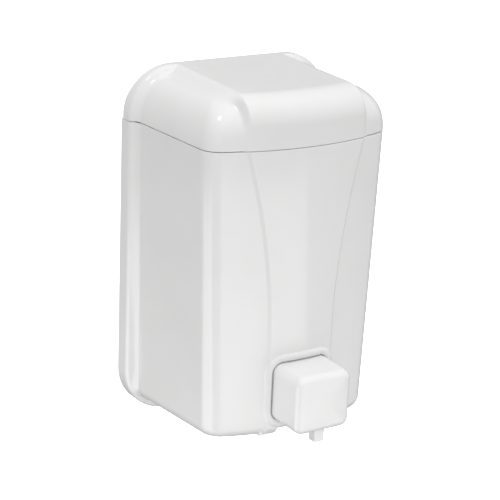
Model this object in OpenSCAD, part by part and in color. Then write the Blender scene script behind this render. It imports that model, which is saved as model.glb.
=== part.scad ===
// Wall mounted soap dispenser: wall plate, hanging tank, hinged filling lid and push pump.
// Millimetres. X runs across the wall, depth runs out of the wall along -Y, Z is up.
// Every module draws on the bench, with z = 0 at the flange's lowest point, and on_wall()
// moves it so that the origin is the centre of the wall screws, on the wall.

/* [Flange and body] */
// Width across the back flange
flange_w = 97.8; // [96:0.2:102]
// Height of the back flange, which is the whole dispenser's height
overall_h = 156.2; // [155:0.2:158]
// Corner radius of the flange
flange_corner_r = 20.6; // [18:0.2:23]
// Depth of the flange's flat edge
flange_edge = 6; // [5.5:0.1:6.5]
// Radius of the flange's front edge
flange_round = 3; // [2.5:0.1:3]
// Wall thickness of the body and the lid
wall = 2.5; // [2.2:0.1:2.8]
// Height of the body's floor above the flange's lowest point
floor_z = 7.7; // [7:0.1:8.5]
// Height of the seam between the body and the lid
seam_z = 133.7; // [133:0.1:134.5]
// Gap between the lid and the body
seam_gap = 0.5; // [0.4:0.1:0.8]
// Half width at the flange, at the floor
side_low = 44.2; // [43.5:0.1:45]
// Half width at the flange, at the seam
side_high = 45.9; // [45:0.1:46]
// Half width of the front, at the floor
front_low = 39.2; // [38:0.1:40]
// Half width of the front, at the seam
front_high = 43.6; // [43:0.1:44]
// Depth of the front at the floor
depth_low = 71.6; // [71:0.1:72]
// Depth of the front at the seam
depth_high = 71.5; // [71:0.1:72]
// How far the front bows out between its corners
bow = 8.9; // [8:0.1:9.5]
// Size of the rounding of the two front corners
corner = 6; // [5:0.5:8]
// Radius of the body's bottom edge
floor_round = 6; // [4:0.5:7]

/* [Front panel] */
// Height of the raised front panel above the front
panel_step = 0.9; // [0.7:0.1:1.2]
// Half width of the panel at the seam
panel_high = 28.1; // [27:0.1:29]
// Half width of the panel at the button
panel_low = 15.6; // [15.2:0.1:16.5]
// Height at which the panel's edges turn upright
panel_turn_z = 49.7; // [47:0.1:52]

/* [Lid] */
// Half width of the lid's raised top
lid_top_w = 26.8; // [26:0.1:28]
// Half width at the foot of the raised top
shoulder_w = 34.3; // [33.5:0.1:35]
// Height of the shoulder beside the raised top
shoulder_z = 152.4; // [152:0.1:152.6]
// Depth of the hinge axis
hinge_depth = 5.5; // [5.4:0.05:5.6]
// Height of the hinge axis
hinge_z = 152.2; // [152:0.1:152.3]
// Diameter of the hinge pins
hinge_pin_d = 3; // [2.5:0.1:3]

/* [Button and pump] */
// Width of the push button
button_w = 26.6; // [26:0.2:27]
// Height of the push button
button_h = 25.6; // [25:0.1:26]
// Height of the pump's axis
pump_z = 28.6; // [28:0.1:29]
// Depth of the button's front face
button_depth = 90.6; // [90:0.2:91]
// Travel of the push button
button_travel = 9; // [8:0.5:9.5]
// Bore of the pump cylinder
pump_bore_d = 12; // [11.6:0.1:12]
// Outside diameter of the pump cylinder
pump_d = 17; // [16:0.5:17]
// Outside diameter of the piston's stem
stem_d = 6; // [5.6:0.1:6]

/* [Wall plate] */
// Distance between the wall screws, sideways
screw_span_x = 60; // [56:1:62]
// Distance between the wall screws, up and down
screw_span_z = 90; // [86:1:92]
// Diameter of the wall screw holes
screw_hole_d = 4.5; // [4:0.1:5]
// Thickness of the wall plate
plate_t = 2; // [1.8:0.1:2.1]

/* [Hidden] */
$fn = 64;
eps = 0.01;

// Flange and back wall
flange_front = flange_edge + flange_round;
web_back = flange_front - wall;
lid_back = 1.2;

// Outline of the tank
corner_steps = 5;
front_steps = 12;
inner_floor = floor_z + wall;
upstand_gap = 0.7;
upstand_lean = 0.6;
upstand_t = 1.2;
upstand_h = 3;

// Lid dome
lid_floor = seam_z + seam_gap / 2;
body_top = seam_z - seam_gap / 2;
dome_side = 14;
dome_side_h = shoulder_z - seam_z + 0.3;
dome_front = 12;
dome_front_h = 13;

// Hinge
knuckle_r = 2.5;
ear_r = 2.5;
knuckle_x = [15, 22.2];
ear_x = [22.5, 25.5];
pin_x = [14, 25.5];
pin_clearance = 0.05;

// Hooks on the wall plate and the bars that hang on them
hook_x = 30;
hook_zs = [50, 96];
hook_half = 6;
hook_h = 8;
hook_foot = 3;
tongue = [4, 5.4];
bar = [2.3, 3.7];
bar_h = 5;
plate_half = 41;
plate_z = [13.5, 142.5];
plate_corner = 8;

// Pocket that the pump sits in, open at the front and below
pocket_half = 15;
pocket_back = 44;
pocket_front = 67.5;
pocket_top = 43.2;
notch_half = 10;
aperture_gap = 0.7;
aperture_r = 5;
lip_w = 2.9;
lip_h = 0.9;

// Button
button_wall = 2.2;
button_r = 4;
skirt_back = 61.5;
button_low = pump_z - button_h / 2;

// Pump
gasket_t = 1.5;
pump_flange_d = 25.6;
pump_flange_t = 2.5;
pump_flange_back = pocket_back + gasket_t;
pump_front = pump_flange_back + pump_flange_t;
gland_spigot = 2;
gland_front = pump_front + 4;
piston_t = 4;
piston_front = pump_front - gland_spigot;
piston_back = piston_front - piston_t;
pump_end_wall = 2;
pump_back = piston_back - button_travel - 2.5 - pump_end_wall;
stem_bore_d = 3;
elbow_depth = 19;
elbow_d = 10;
valve_bore_d = 6.4;
seat_z = 18.2;
seat_hole_r = 1.7;
inlet_ball_r = 2.5;
inlet_ball_z = seat_z + sqrt(pow(inlet_ball_r, 2) - pow(seat_hole_r, 2)) + eps;
inlet_lift = 2;

// Valve and spout inside the button
housing_back = 81.2;
stem_socket = 1.5;
housing_half = 4.5;
outlet_depth = 84.9;
outlet_seat_z = 25.8;
outlet_hole_r = 1.1;
outlet_bore_r = 2.3;
outlet_ball_r = 1.8;
outlet_ball_z = outlet_seat_z - sqrt(pow(outlet_ball_r, 2) - pow(outlet_hole_r, 2)) - eps;
tip_top = 18.4;
tip_bottom = 10.2;
tip_half = 2.5;
tip_depths = [82.6, 87.6];
tip_spigot = 1;

// ---------- helpers ----------

// From the bench to the wall
module on_wall() {
    translate([0, 0, -overall_h / 2]) children();
}

// Extrude a shape drawn in X and Z from depth d0 to depth d1
module out(d0, d1) {
    translate([0, -d0, 0]) rotate([90, 0, 0]) linear_extrude(d1 - d0) children();
}

// Round bar along the depth
module rod(d0, d1, r, x = 0, z = 0) {
    translate([x, -d0, z]) rotate([90, 0, 0]) cylinder(h = d1 - d0, r = r);
}

// Round bar along X
module cross_rod(x0, x1, r, d, z) {
    translate([x0, -d, z]) rotate([0, 90, 0]) cylinder(h = x1 - x0, r = r);
}

// Box between two corners, given as x, depth and z ranges
module block(xs, ds, zs) {
    translate([xs[0], -ds[1], zs[0]]) cube([xs[1] - xs[0], ds[1] - ds[0], zs[1] - zs[0]]);
}

// Rounded rectangle about a centre
module rounded(w, h, r, z = 0, n = 64) {
    translate([0, z]) {
        square([w - 2 * r, h], center = true);
        square([w, h - 2 * r], center = true);
        for (sx = [-1, 1], sz = [-1, 1])
            translate([sx * (w / 2 - r), sz * (h / 2 - r)]) circle(r, $fn = n);
    }
}

// The same thing on both sides of the middle
module both_sides() {
    children();
    mirror([1, 0, 0]) children();
}

// Closed skin through rings of equal length, from low to high, clockwise from above
module skin(rings) {
    n = len(rings[0]);
    levels = len(rings);
    points = [for (ring = rings) for (p = ring) p];
    sides = [
        for (k = [0:levels - 2], i = [0:n - 1])
            let (j = (i + 1) % n, a = k * n + i, b = k * n + j, c = b + n, d = a + n)
                each [[a, c, d], [a, b, c]]
    ];
    low = [[for (i = [n - 1:-1:0]) i]];
    high = [[for (i = [0:n - 1]) (levels - 1) * n + i]];
    polyhedron(points = points, faces = concat(sides, low, high));
}

// Round wire wound into a coil about Z, from height 0 to h
module coil(r, wire_r, h, turns, per_turn = 14, sides = 8) {
    steps = turns * per_turn;
    rise = (h - 2 * wire_r) / steps;
    skin([
        for (k = [0:steps])
            let (turn = 360 * k / per_turn, mid = wire_r + rise * k)
                [
                    for (i = [0:sides - 1])
                        let (a = 360 * i / sides, reach = r + wire_r * cos(a))
                            [reach * cos(turn), reach * sin(turn), mid + wire_r * sin(a)]
                ]
    ]);
}

// ---------- outline of the tank and the dome ----------

function mix(a, b, t) = a + (b - a) * t;
function climb(z) = (z - floor_z) / (seam_z - floor_z);
function side_w(z) = mix(side_low, side_high, climb(z));
function front_w(z) = mix(front_low, front_high, climb(z));
function front_d(z) = mix(depth_low, depth_high, climb(z)) - panel_step;
front_bow = bow - panel_step;

// Depth of a bowed front, x from the middle, which reaches depth d there and d - b at width w
function bowed(x, d, w, b) = let (r = (w * w + b * b) / (2 * b)) d - r + sqrt(r * r - x * x);

// Point of a quadratic curve
function curve(a, b, c, t) = mix(mix(a, b, t), mix(b, c, t), t);

// Half an outline, from the back to the middle of the front, as [x, depth] points
function half_outline(w, q, d, b, c, back) =
    let (
        tip = [q, d - b],
        heel = [w, back],
        start = tip + c * (heel - tip) / norm(heel - tip),
        stop = [q - c, bowed(q - c, d, q, b)]
    )
    concat(
        [heel],
        [for (i = [0:corner_steps]) curve(start, tip, stop, i / corner_steps)],
        [
            for (i = [1:front_steps / 2])
                let (x = stop[0] * (1 - 2 * i / front_steps)) [x, bowed(x, d, q, b)]
        ]
    );

// Whole ring at height z, seen from above, left half first
function ring(z, w, q, d, b, c, back) =
    let (half = half_outline(w, q, d, b, c, back), n = len(half))
    concat(
        [for (i = [0:n - 1]) [half[i][0], -half[i][1], z]],
        [for (i = [n - 2:-1:0]) [-half[i][0], -half[i][1], z]]
    );

// Ring of the tank, drawn in by e
function tank_ring(z, e, back = 6) =
    ring(z, side_w(z) - e, front_w(z) - e, front_d(z) - e, front_bow, corner - 0.4 * e, back);

// Tank with rounded bottom edge, drawn in by e, from z0 up to z1
module tank(e, z0, z1, r, back = 6) {
    skin(concat(
        [
            for (k = [0:4])
                let (a = 18 + 18 * k, z = z0 + r * (1 - cos(a)))
                    tank_ring(z, e + r * (1 - sin(a)), back)
        ],
        [tank_ring(z1, e, back)]
    ));
}

// Upright prism of the tank's outline, drawn in by e
module tank_slice(e, z0, z1, back) {
    skin([tank_ring(z0, e, back), tank_ring(z1, e, back)]);
}

// Quarter of an ellipse: how far it is drawn in at height h out of full
function drawn_in(h, full, reach) =
    h <= 0 ? 0 : reach * (1 - sqrt(max(0, 1 - pow(h / full, 2))));

// Ring of the lid's dome at height z, drawn in by e, with the outline that it has at height at
function dome_ring(z, e, back, at = undef) =
    let (
        h = (is_undef(at) ? z : at) + e,
        side = e + drawn_in(h - seam_z, dome_side_h, dome_side),
        front = e + drawn_in(h - overall_h + dome_front_h, dome_front_h, dome_front)
    )
    ring(z, side_high - side, front_high - side, front_d(seam_z) - front, front_bow,
         corner - 0.4 * e, back);

// Low part of the lid: its walls and shoulders
module dome(e, z0, back) {
    top = shoulder_z - e;
    steps = 7;
    skin([
        for (k = [0:steps])
            let (z = k == 0 ? z0 : mix(seam_z - e + 4, top, sin(90 * k / steps)))
                dome_ring(z, e, back)
    ]);
}

// Everything behind the lid's bowed front, under its rounded top front edge, drawn in by e
module under_front(z0, e, back) {
    top = overall_h - e;
    d = depth_high - e;
    reach = d + 0.05;
    front_r = (pow(front_high, 2) + pow(bow, 2)) / (2 * bow);
    intersection() {
        translate([-50, 0, 0]) rotate([90, 0, 90]) linear_extrude(100) polygon(concat(
            [[-back, z0], [-back, top]],
            [
                for (k = [0:6])
                    let (a = 15 * k)
                        [-reach + dome_front * (1 - sin(a)), top - dome_front_h * (1 - cos(a))]
            ],
            [[-reach, z0]]
        ));
        translate([0, front_r - d, z0 - 1]) cylinder(h = 80, r = front_r, $fn = 200);
    }
}

// Raised middle of the lid, drawn in by e
module crown(e, back) {
    intersection() {
        out(back, 80) polygon([
            [-shoulder_w, shoulder_z - 7 - e], [-shoulder_w + e, shoulder_z - e],
            [-lid_top_w + e / 2, overall_h - e], [lid_top_w - e / 2, overall_h - e],
            [shoulder_w - e, shoulder_z - e], [shoulder_w, shoulder_z - 7 - e]
        ]);
        skin([for (z = [floor_z, overall_h]) dome_ring(z, e, back, shoulder_z - e - 1)]);
        under_front(shoulder_z - 8 - e, e, back);
    }
}

// Raised panel down the lid's front, in line with the body's, a hair behind the crown's front
module lid_panel() {
    front = depth_high - 0.05;
    steps = 5;
    skin([
        for (k = [0:steps + 1])
            let (a = 75 * max(k - 1, 0) / steps,
                 z = k == 0 ? lid_floor : overall_h - dome_front_h * (1 - sin(a)),
                 d = front - dome_front * (1 - cos(a)))
                [
                    [panel_high, 10 - depth_high + bow, z],
                    for (i = [0:8])
                        let (x = panel_high * (1 - i / 4)) [x, -bowed(x, d, front_high, bow), z],
                    [-panel_high, 10 - depth_high + bow, z]
                ]
    ]);
}

// The flange's outline, drawn in by e
module flange_outline(e, n = 64) {
    rounded(flange_w - 2 * e, overall_h - 2 * e, flange_corner_r - e, overall_h / 2, n);
}

// Flange slab with its front edge rounded in small chords
module flange_slab(back) {
    chords = 4;
    hull() {
        out(back, flange_edge) flange_outline(0, 32);
        for (k = [1:chords]) {
            a = 90 * k / chords;
            out(flange_edge + flange_round * sin(a) - eps, flange_edge + flange_round * sin(a))
                flange_outline(flange_round * (1 - cos(a)), 32);
        }
    }
}

// Everything above or below the seam
module above(z) {
    block([-80, 80], [-5, 120], [z, 300]);
}
module below(z) {
    block([-80, 80], [-5, 120], [-50, z]);
}

// ---------- body ----------

// Raised panel down the front
function panel_w(z) =
    let (turn_r = (pow(seam_z - panel_turn_z, 2)) / (2 * (panel_high - panel_low)))
    z <= panel_turn_z ? panel_low : panel_low + pow(z - panel_turn_z, 2) / (2 * turn_r);

module front_panel() {
    steps = 8;
    intersection() {
        skin([
            for (k = [0:steps])
                let (z = k == 0 ? floor_z + 2 : mix(panel_turn_z - 5, body_top, (k - 1) / (steps - 1)),
                     w = panel_w(z), d = front_d(z))
                    [
                        for (p = concat(
                            [[w, d - 5]],
                            [
                                for (i = [0:8])
                                    let (x = w * (1 - i / 4)) [x, bowed(x, d, front_w(z), bow - 1)
                                        + panel_step]
                            ],
                            [[-w, d - 5]]
                        )) [p[0], -p[1], z]
                    ]
        ]);
        tank(-panel_step - 0.2, floor_z + 0.4, body_top, floor_round, 0);
    }
}

// Walls of the pocket for the pump
module pocket_walls() {
    block([-pocket_half - wall, pocket_half + wall], [pocket_back - wall, pocket_front + 1.2],
          [floor_z + 0.8, pocket_top + wall]);
}

// Bead round the opening for the button
module lip() {
    w = button_w + 2 * aperture_gap + 2 * lip_w;
    h = button_h + 2 * aperture_gap + 2 * lip_w;
    r = (pow(front_low, 2) + pow(bow, 2)) / (2 * bow);
    intersection() {
        out(pocket_front, 80) rounded(w, h, aperture_r + lip_w, pump_z);
        translate([0, r - depth_low - 0.3 - lip_h, 0]) cylinder(h = 80, r = r, $fn = 200);
    }
}

// Bar and ribs that hang on one hook
module hanger(z) {
    reach = hook_half + 3;
    block([hook_x - reach, hook_x + reach], bar, [z, z + bar_h]);
    for (x = [hook_x - reach, hook_x + reach - 2])
        block([x, x + 2], [bar[0], web_back + 0.5], [z, z + bar_h]);
}

// Upright with a knuckle for a hinge pin
module knuckle() {
    cross_rod(knuckle_x[0], knuckle_x[1], knuckle_r, hinge_depth, hinge_z);
    block(knuckle_x, [web_back, flange_front], [body_top - 6, hinge_z - 2]);
    block(knuckle_x, [hinge_depth - 0.5, flange_front], [hinge_z - 4, hinge_z]);
}

// Rim inside the lid that keeps the lid in line, leaning in like the lid's walls
module upstand() {
    lean = wall + upstand_gap + upstand_lean;
    intersection() {
        block([-50, 50], [12, 75], [body_top - 3, body_top + upstand_h]);
        difference() {
            union() {
                tank_slice(wall - 0.6, body_top - 3, body_top, 6);
                skin([
                    tank_ring(body_top - 1, wall + upstand_gap, 6),
                    tank_ring(body_top + upstand_h, lean, 6)
                ]);
            }
            tank_slice(lean + upstand_t, body_top - 4, body_top + upstand_h + 1, 5);
        }
    }
}

module body() on_wall() color("white") difference() {
    union() {
        difference() {
            union() {
                intersection() {
                    flange_slab(0);
                    below(body_top);
                }
                tank(0, floor_z, body_top, floor_round);
                front_panel();
            }
            tank(wall, inner_floor, body_top + 1, floor_round - wall, flange_front);
            out(-1, web_back) flange_outline(wall);
        }
        intersection() {
            out(web_back, flange_front) flange_outline(wall - 0.5);
            below(body_top);
        }
        intersection() {
            pocket_walls();
            tank(0.1, floor_z + 0.1, body_top, floor_round);
        }
        lip();
        upstand();
        both_sides() {
            for (z = hook_zs) hanger(z);
            knuckle();
        }
    }
    block([-pocket_half, pocket_half], [pocket_back, pocket_front], [inner_floor, pocket_top]);
    block([-notch_half, notch_half], [pocket_back + 4, 80], [floor_z - 5, inner_floor + 1.5]);
    out(pocket_front - 2, 80)
        rounded(button_w + 2 * aperture_gap, button_h + 2 * aperture_gap, aperture_r, pump_z);
    rod(pocket_back - wall - 1, pocket_back + 1, pump_d / 2 + 0.1, z = pump_z);
    both_sides()
        cross_rod(knuckle_x[0] - 1, knuckle_x[1] + 1, hinge_pin_d / 2 + pin_clearance,
                  hinge_depth, hinge_z);
}

// ---------- lid ----------

module ear() {
    cross_rod(ear_x[0], ear_x[1], ear_r, hinge_depth, hinge_z);
    block(ear_x, [hinge_depth - ear_r, hinge_depth + ear_r], [hinge_z, overall_h - 1.5]);
}

module lid() on_wall() color("white") difference() {
    union() {
        difference() {
            union() {
                intersection() {
                    flange_slab(lid_back);
                    above(lid_floor);
                }
                dome(0, lid_floor, 6);
                crown(0, 6);
                lid_panel();
            }
            dome(wall, lid_floor - 1, 6 - wall);
            crown(wall, 6 - wall);
            intersection() {
                out(-1, web_back) flange_outline(wall);
                below(overall_h - wall);
            }
            block([-40, 40], [-1, flange_front + 1], [lid_floor - 1, hinge_z - 4]);
        }
        both_sides() ear();
    }
    both_sides() {
        cross_rod(knuckle_x[0] - 0.4, ear_x[0], knuckle_r + 0.3, hinge_depth, hinge_z);
        cross_rod(pin_x[0] - 1, pin_x[1], hinge_pin_d / 2, hinge_depth, hinge_z);
    }
    // Round the top back edge, so that it clears the wall as the lid swings
    difference() {
        block([-60, 60], [-1, lid_back + 2], [overall_h - 2, overall_h + 1]);
        cross_rod(-61, 61, 2, lid_back + 2, overall_h - 2);
    }
    // Relieve the bottom back edge, which dips a little as the lid swings
    block([-60, 60], [-1, hinge_depth], [lid_floor - 1, lid_floor + 0.6]);
}

module hinge_pins() on_wall() color("silver") both_sides()
    cross_rod(pin_x[0], pin_x[1], hinge_pin_d / 2, hinge_depth, hinge_z);

// ---------- wall plate ----------

module hook(z) {
    block([hook_x - hook_half, hook_x + hook_half], [plate_t - 0.5, tongue[1]], [z - hook_foot, z]);
    block([hook_x - hook_half, hook_x + hook_half], tongue, [z - eps, z + hook_h]);
}

module wall_plate() on_wall() color("gainsboro") difference() {
    union() {
        out(0, plate_t) rounded(2 * plate_half, plate_z[1] - plate_z[0], plate_corner,
                                (plate_z[0] + plate_z[1]) / 2);
        both_sides() for (z = hook_zs) hook(z);
    }
    for (sx = [-1, 1], sz = [-1, 1])
        rod(-1, plate_t + 1, screw_hole_d / 2, sx * screw_span_x / 2,
            overall_h / 2 + sz * screw_span_z / 2);
    // Openings that make the plate light, between the hooks and the screws
    out(-1, plate_t + 1) rounded(28, 90, 6, overall_h / 2);
}

// ---------- button, spout and outlet valve ----------

module button_block(d0, d1, e) {
    out(d0, d1) rounded(button_w - 2 * e, button_h - 2 * e, button_r - e, pump_z);
}

module push_button() on_wall() color("white") difference() {
    union() {
        button_block(skirt_back, button_depth - 2, 0);
        button_block(skirt_back, button_depth - 1, 0.5);
        button_block(skirt_back, button_depth, 1.6);
    }
    button_block(skirt_back - 1, button_depth - button_wall, button_wall);
    block([-tip_half - 0.2, tip_half + 0.2], [tip_depths[0] - 0.3, button_depth - button_wall],
          [button_low - 1, button_low + button_wall + 1]);
}

module valve_housing() on_wall() color("whitesmoke") difference() {
    block([-housing_half, housing_half], [housing_back, button_depth - button_wall],
          [tip_top, pump_z + housing_half]);
    rod(housing_back - 1, housing_back + stem_socket, stem_d / 2, z = pump_z);
    rod(housing_back, outlet_depth, stem_bore_d / 2, z = pump_z);
    translate([0, -outlet_depth, 0]) {
        translate([0, 0, tip_top - 1]) cylinder(h = outlet_seat_z - tip_top + 1, r = outlet_bore_r);
        translate([0, 0, outlet_seat_z - 1]) cylinder(h = pump_z - outlet_seat_z + 1, r = outlet_hole_r);
    }
}

module spout_tip() on_wall() color("white") difference() {
    union() {
        block([-tip_half, tip_half], tip_depths, [tip_bottom, tip_top]);
        translate([0, -outlet_depth, tip_top - eps]) cylinder(h = tip_spigot, r = outlet_bore_r);
    }
    translate([0, -outlet_depth, tip_bottom - 1]) cylinder(h = 12, r = 1.2);
}

module outlet_ball() on_wall() color("silver")
    translate([0, -outlet_depth, outlet_ball_z]) sphere(outlet_ball_r);

module outlet_spring() on_wall() color("silver")
    translate([0, -outlet_depth, tip_top + tip_spigot]) coil(1.3, 0.2, 3.55, 4, 12, 6);

// ---------- pump ----------

module piston_stem() on_wall() color("whitesmoke") difference() {
    union() {
        rod(piston_back + 1, housing_back + stem_socket, stem_d / 2, z = pump_z);
        rod(piston_back, piston_front, pump_bore_d / 2 - 0.3, z = pump_z);
    }
    rod(piston_back - 1, housing_back + 4, stem_bore_d / 2, z = pump_z);
    difference() {
        rod(piston_back + 1, piston_front - 1, pump_bore_d / 2, z = pump_z);
        rod(piston_back, piston_front, 4.8, z = pump_z);
    }
}

module piston_seal() on_wall() color("black") difference() {
    rod(piston_back + 1, piston_front - 1, pump_bore_d / 2 - 0.03, z = pump_z);
    rod(piston_back, piston_front, 4.8, z = pump_z);
}

module return_spring() on_wall() color("silver")
    translate([0, -gland_front, pump_z]) rotate([90, 0, 0]) coil(4.1, 0.45, housing_back - gland_front, 9);

module gland_cap() on_wall() color("whitesmoke") difference() {
    union() {
        rod(pump_front, gland_front, 10, z = pump_z);
        rod(pump_front - gland_spigot, pump_front + 1, pump_bore_d / 2 - 0.05, z = pump_z);
    }
    rod(pump_front - 5, gland_front + 1, stem_d / 2 + 0.1, z = pump_z);
    rod(pump_front - 0.5, pump_front + 1.2, 4.7, z = pump_z);
}

module stem_seal() on_wall() color("black")
    translate([0, -pump_front - 0.35, pump_z]) rotate([90, 0, 0])
        rotate_extrude() translate([3.85, 0]) circle(0.8);

module pump_cylinder() on_wall() color("white") difference() {
    union() {
        rod(pump_back, pump_front, pump_d / 2, z = pump_z);
        rod(pump_flange_back, pump_front, pump_flange_d / 2, z = pump_z);
        rod(pump_back - 3, pump_back + 1, 3, z = pump_z);
    }
    rod(pump_back + pump_end_wall, pump_front + 1, pump_bore_d / 2, z = pump_z);
    rod(pump_back - 4, pump_back + 4, 1.75, z = pump_z);
}

module pump_gasket() on_wall() color("dimgray") difference() {
    rod(pocket_back, pump_flange_back, pump_flange_d / 2, z = pump_z);
    rod(pocket_back - 1, pump_front, pump_d / 2, z = pump_z);
}

module clamp_nut() on_wall() color("white") difference() {
    translate([0, wall - pocket_back, pump_z]) rotate([-90, 0, 0]) cylinder(h = 4.5, r = 13, $fn = 6);
    rod(pocket_back - 10, pocket_back, pump_d / 2, z = pump_z);
}

module suction_elbow() on_wall() color("whitesmoke") difference() {
    union() {
        rod(elbow_depth, pump_back, elbow_d / 2, z = pump_z);
        translate([0, -elbow_depth, seat_z - 3.5]) cylinder(h = pump_z + 5 - seat_z + 3.5, r = elbow_d / 2);
    }
    rod(pump_back - 3, pump_back + 1, 3, z = pump_z);
    rod(elbow_depth, pump_back, 1.75, z = pump_z);
    translate([0, -elbow_depth, seat_z - 4.5])
        cylinder(h = inlet_ball_z + inlet_ball_r + inlet_lift + 0.1 - seat_z + 4.5, r = valve_bore_d / 2);
    translate([0, -elbow_depth, seat_z]) cylinder(h = pump_z - seat_z, r = 2);
    // Slot that lets the soap past the ball
    block([-0.75, 0.75], [elbow_depth - 3, elbow_depth + 3], [seat_z + 4, pump_z]);
}

module inlet_seat() on_wall() color("whitesmoke") translate([0, -elbow_depth, seat_z - 3.5]) difference() {
    cylinder(h = 3.5, r = valve_bore_d / 2);
    translate([0, 0, -1]) cylinder(h = 6, r = seat_hole_r);
}

module inlet_ball() on_wall() color("silver")
    translate([0, -elbow_depth, inlet_ball_z]) sphere(inlet_ball_r);

module strainer() on_wall() color("whitesmoke") translate([0, -elbow_depth, inner_floor + 0.6]) difference() {
    cylinder(h = 7, r = 6.1);
    translate([0, 0, seat_z - 3.5 - inner_floor - 0.6]) cylinder(h = 10, r = elbow_d / 2);
    translate([0, 0, 1.2]) cylinder(h = 10, r = 3.6);
    for (k = [-2:2]) translate([-3.4, 1.6 * k - 0.4, -1]) cube([6.8, 0.8, 3]);
}

wall_plate();
body();
lid();
hinge_pins();
push_button();
valve_housing();
spout_tip();
outlet_ball();
outlet_spring();
piston_stem();
piston_seal();
return_spring();
gland_cap();
stem_seal();
pump_cylinder();
pump_gasket();
clamp_nut();
suction_elbow();
inlet_seat();
inlet_ball();
strainer();
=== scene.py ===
"""Looks of the wall mounted soap dispenser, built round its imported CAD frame.

Shapes are drawn in millimetres as (x, depth, z): x across the wall, depth out of the wall, and z up from
the back flange's lowest point. bench() turns them into the frame's metres.
"""
import math

import bmesh
import bpy
import numpy as np
from mathutils import Matrix, Vector


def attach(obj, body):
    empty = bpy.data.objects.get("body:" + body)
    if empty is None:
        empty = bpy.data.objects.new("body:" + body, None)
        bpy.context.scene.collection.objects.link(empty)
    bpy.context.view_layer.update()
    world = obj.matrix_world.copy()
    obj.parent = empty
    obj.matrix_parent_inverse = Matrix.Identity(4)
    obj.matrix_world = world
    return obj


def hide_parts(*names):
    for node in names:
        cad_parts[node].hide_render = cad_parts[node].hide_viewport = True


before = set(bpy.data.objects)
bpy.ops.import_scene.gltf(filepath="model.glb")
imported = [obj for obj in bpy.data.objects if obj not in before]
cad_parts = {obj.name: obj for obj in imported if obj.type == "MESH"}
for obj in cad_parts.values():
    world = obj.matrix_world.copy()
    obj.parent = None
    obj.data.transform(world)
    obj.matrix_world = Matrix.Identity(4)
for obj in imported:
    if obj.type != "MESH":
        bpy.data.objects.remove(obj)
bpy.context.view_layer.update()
scene = bpy.context.scene

# ---------- camera ----------

CAMERA_AT = Vector((-0.372094, -0.609598, 0.233929))
CAMERA_RIGHT = Vector((0.84875899, -0.52736077, 0.0387143))
CAMERA_UP = Vector((0.13950829, 0.29394792, 0.94558556))
SENSOR_MM = 36.0
LENS_MM = 121.406


def make_camera():
    data = bpy.data.cameras.new("camera")
    data.sensor_width = SENSOR_MM
    data.lens = LENS_MM
    data.clip_end = 50.0
    obj = bpy.data.objects.new("camera", data)
    back = CAMERA_RIGHT.cross(CAMERA_UP)
    turn = Matrix((CAMERA_RIGHT, CAMERA_UP, back)).transposed().to_4x4()
    obj.matrix_world = Matrix.Translation(CAMERA_AT) @ turn
    scene.collection.objects.link(obj)
    scene.camera = obj


make_camera()

# ---------- dimensions, in millimetres ----------

# Back flange
FLANGE_W = 97.8
HEIGHT = 156.2
FLANGE_R = 20.6
FLANGE_EDGE = 6.0
FLANGE_ROUND = 3.0
FLANGE_FRONT = FLANGE_EDGE + FLANGE_ROUND
WALL = 2.5
WEB_BACK = FLANGE_FRONT - WALL
FLANGE_WEB = 8.5
LID_BACK = 1.2
# Depth at which the flange's concave strip runs out on the tank's side
COVE = 12.0
# Backs of the tank's outer and inner skins, a hair in front of the flange's own faces
SHELL_BACK = WEB_BACK + 0.05
INNER_BACK = FLANGE_FRONT + 0.05

# Tank, with widths and depths at its floor and at the seam
FLOOR = 7.7
FLOOR_ROUND = 6.0
SEAM = 133.7
HALF_GAP = 0.13
SIDE_W = (44.2, 45.9)
FRONT_W = (39.2, 43.6)
FRONT_D = (71.6, 71.5)
BOW = 8.9
CORNER = 6.0
# Raised panel down the front
STEP = 0.9
PANEL_LOW = 15.6
PANEL_HIGH = 28.1
PANEL_TURN_Z = 49.7
# Rim that stands up inside the lid, from UPSTAND_BACK forwards
UPSTAND_IN = WALL + 0.3
UPSTAND_T = 1.2
UPSTAND_H = 3.0
UPSTAND_BACK = 11.0

# Lid
SHOULDER_Z = 152.4
SIDE_REACH = 14.0
FRONT_REACH = 12.0
FRONT_RISE = 13.0
TOP_SLOPE = 1.2
# Half widths of the raised middle at its foot and at its edge, each at the seam and on top
CROWN_FOOT = (30.2, 34.3)
CROWN_EDGE = (27.2, 25.8)
CROWN_SINK = 0.02

# Hinge
HINGE_DEPTH = 5.5
HINGE_Z = 152.2
KNUCKLE_R = 2.5
PIN_R = 1.5
POST_X = (15.0, 22.2)
EAR_X = (22.5, 25.5)
EAR_TOP = HEIGHT - 1.5

# Bars that hang on the wall plate's hooks
HOOK_X = 30.0
HOOK_ZS = (50.0, 96.0)
HANGER_HALF = 9.0
BAR = (2.3, 3.7)
BAR_H = 5.0
RIB = 2.0

# Button, its opening and the bead round it
BUTTON_W = 26.6
BUTTON_H = 25.6
BUTTON_R = 4.0
BUTTON_FRONT = 90.6
BUTTON_BACK = 61.5
BUTTON_WALL = 2.2
BUTTON_ROUND = 3.4
BUTTON_CROWN = 0.25
PUMP_Z = 28.6
APERTURE_GAP = 0.45
APERTURE_R = 5.0
APERTURE_DEPTHS = (62.0, 82.0)
LIP_W = 3.1
LIP_H = 0.9
LIP_BACK = 55.0

# Pocket for the pump, open at the front and below
POCKET_HALF = 15.0
POCKET_DEPTHS = (44.0, 77.0)
POCKET_FRONT = 68.2
POCKET_ZS = (10.2, 43.2)
NOTCH = ((-10.0, 10.0), (48.0, 90.0), (0.5, 11.7))
# Hole for the pump's barrel in the pocket's back wall
BORE_R = 8.6
BORE_DEPTHS = (36.0, 52.0)
# Softening of a cutter's edges, too small to see
SHARP = 0.01

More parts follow.
